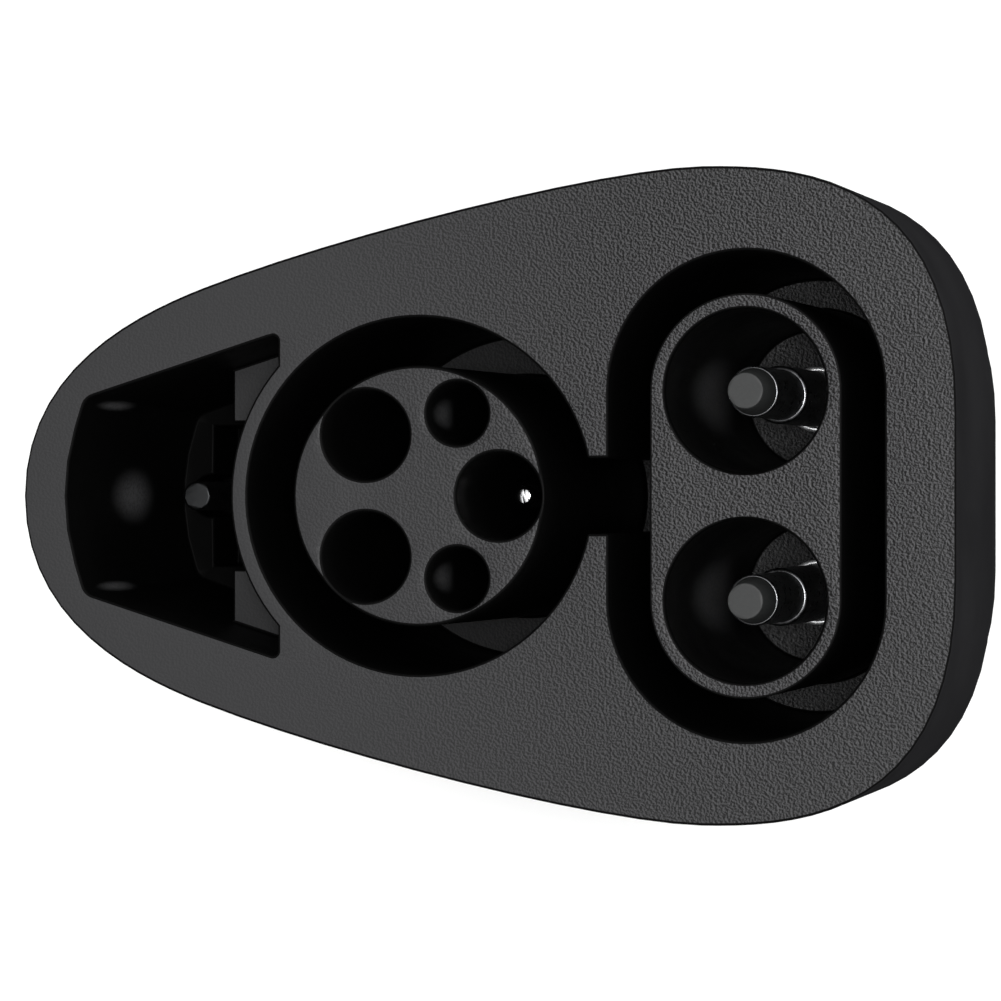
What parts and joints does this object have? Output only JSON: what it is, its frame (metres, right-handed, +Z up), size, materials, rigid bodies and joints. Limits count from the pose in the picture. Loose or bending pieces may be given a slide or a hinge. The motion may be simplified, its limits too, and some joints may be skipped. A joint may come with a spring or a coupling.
{
  "type": "ev charging adapter",
  "caption": "Egg-shaped hand-held DC charging adapter with a five-hole round inlet, a two-pin DC inlet, a latch pocket and a five-socket plug nose",
  "frame": {"origin": "centre of the bounding box's bottom, at the end of the plug nose", "axes": "+Z is up, out of the inlet face; +X points from the latch end to the DC end; +Y runs across the casing's width"},
  "size_m": [0.126, 0.0848, 0.12],
  "materials": {
    "housing_plastic": "black moulded plastic, fine spark texture on the face, satin sides",
    "insulator_plastic": "black glass-filled plastic, fine spark texture on top, satin sides",
    "plated_contact": "silver-plated contact metal",
    "touch_guard": "grey plastic cap",
    "bright_ring": "bright plated ring",
    "lock_steel": "turned steel",
    "spring_steel": "drawn spring wire",
    "copper": "bare copper bar",
    "screw_steel": "zinc-plated steel",
    "board": "green solder mask",
    "sensor_plastic": "black epoxy",
    "socket_metal": "plated spring bronze",
    "nose_plastic": "black glass-filled plastic",
    "shell_plastic": "black moulded plastic, fine texture",
    "gasket_rubber": "black rubber"
  },
  "bodies": {
    "adapter": {"inlet_housing": "housing_plastic", "round_insulator": "insulator_plastic", "dc_insulator": "insulator_plastic", "dc_pin_positive": "plated_contact", "dc_pin_negative": "plated_contact", "dc_tip_positive": "touch_guard", "dc_tip_negative": "touch_guard", "pin_rings": "bright_ring", "ground_pin": "plated_contact", "pilot_pin": "plated_contact", "proximity_pin": "plated_contact", "lock_guide": "insulator_plastic", "lock_spring": "spring_steel", "busbar_positive": "copper", "busbar_negative": "copper", "ground_bar": "copper", "busbar_screws": "screw_steel", "circuit_board": "board", "temperature_sensors": "sensor_plastic", "dc_socket_positive": "socket_metal", "dc_socket_negative": "socket_metal", "ground_socket": "socket_metal", "pilot_socket": "socket_metal", "proximity_socket": "socket_metal", "plug_nose": "nose_plastic", "nose_gasket": "gasket_rubber", "nose_screws": "screw_steel", "rear_housing": "shell_plastic", "housing_gasket": "gasket_rubber", "housing_screws": "screw_steel"},
    "lock": {"lock_pin": "lock_steel", "lock_clip": "lock_steel"}
  },
  "joints": [
    {"name": "lock_slide", "type": "slide", "parent": "adapter", "child": "lock", "axis": [0, 0, 1], "range_m": [0, 0.008], "stiffness_N_per_m": 400, "springref_m": -0.006, "deforming": ["lock_spring"]}
  ]
}
